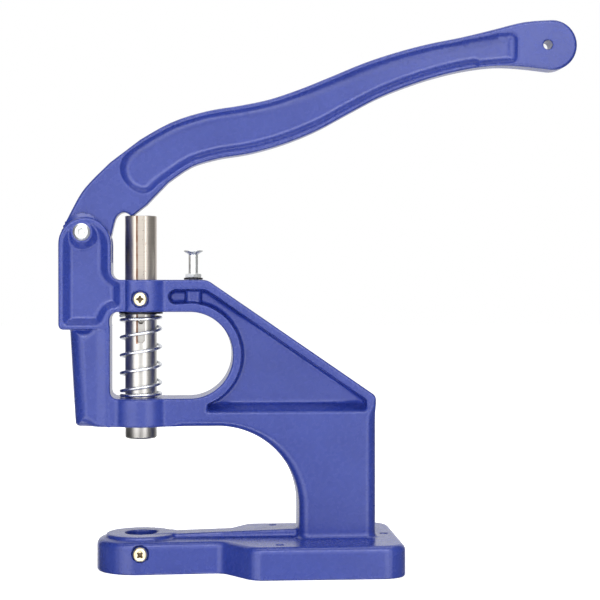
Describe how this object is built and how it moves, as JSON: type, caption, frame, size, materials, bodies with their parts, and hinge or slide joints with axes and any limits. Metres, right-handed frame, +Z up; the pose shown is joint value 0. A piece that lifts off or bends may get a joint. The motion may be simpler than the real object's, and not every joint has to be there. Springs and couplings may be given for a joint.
{
  "type": "hand lever eyelet press",
  "caption": "Hand lever press: a cast C-frame with a round-ended lever that pushes a spring-returned ram down onto a die bore in its base.",
  "frame": {"origin": "on the axis of the ram and the die bore, in the plane of the base's underside", "axes": "+Z up along the ram, +X from the ram to the column, so the guide screw and the die screw face -Y"},
  "size_m": [0.3285, 0.102, 0.3482],
  "materials": {
    "blue_paint": "satin blue paint on a cast iron body",
    "blue_paint_lever": "satin blue paint on a cast iron lever",
    "ground_steel": "ground steel with faint rust in the keyway",
    "zinc_spring": "bright zinc on spring wire",
    "zinc_white": "bright zinc",
    "zinc_yellow": "yellow zinc",
    "black_oxide": "black oxide"
  },
  "bodies": {
    "frame": {"base": "blue_paint", "tongue": "blue_paint", "column": "blue_paint", "lower_arm": "blue_paint", "strut": "blue_paint", "upper_arm": "blue_paint", "pivot_lugs": "blue_paint", "pivot_bolt": "zinc_white", "pivot_washer": "zinc_white", "pivot_nut": "zinc_white", "guide_screw": "zinc_yellow", "stop_nut": "zinc_white", "stop_washer": "black_oxide", "return_spring": "zinc_spring"},
    "lever": {"lever": "blue_paint_lever"},
    "ram": {"ram": "ground_steel", "snap_ring": "black_oxide"},
    "stop_screw": {"stop_screw": "zinc_white"},
    "die_screw": {"die_screw": "zinc_yellow"}
  },
  "joints": [
    {"name": "lever_pivot", "type": "hinge", "parent": "frame", "child": "lever", "pos_m": [-0.036, 0, 0.2115], "axis": [0, 1, 0], "range_deg": [0, 39.5]},
    {"name": "ram_slide", "type": "slide", "parent": "frame", "child": "ram", "axis": [0, 0, -1], "range_m": [0, 0.0226], "stiffness_N_per_m": 2000, "springref_m": -0.03, "deforming": ["return_spring"]},
    {"name": "stop_screw_height", "type": "slide", "parent": "frame", "child": "stop_screw", "axis": [0, 0, -1], "range_m": [0, 0.008]},
    {"name": "die_screw_clamp", "type": "slide", "parent": "frame", "child": "die_screw", "axis": [0, 1, 0], "range_m": [0, 0.0022]}
  ],
  "couplings": [
    {"joint": "ram_slide", "follows": "lever_pivot", "m_per_rad": 0.0327}
  ]
}
